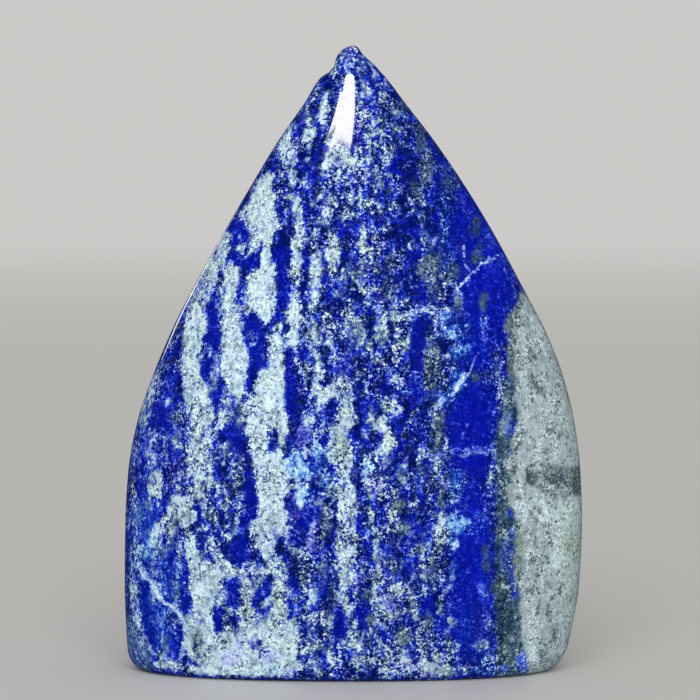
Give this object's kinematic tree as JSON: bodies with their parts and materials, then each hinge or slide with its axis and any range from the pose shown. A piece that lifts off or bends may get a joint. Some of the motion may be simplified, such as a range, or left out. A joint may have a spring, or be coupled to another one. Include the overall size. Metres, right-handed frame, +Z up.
{
  "type": "lapis lazuli freeform",
  "caption": "Polished lapis lazuli freeform: a flame-shaped stone that stands upright on a flat ground base.",
  "frame": {"origin": "centre of the flat base, on the surface the stone stands on", "axes": "+Z up to the nub at the top, +X to the right seen from the front, -Y to the front face"},
  "size_m": [0.0809, 0.0367, 0.11],
  "materials": {
    "polished_lapis": "high polish; royal blue lazurite streaked with white calcite, grey-green diopside and fine pyrite"
  },
  "bodies": {
    "root": {"lapis_freeform": "polished_lapis"}
  },
  "joints": []
}
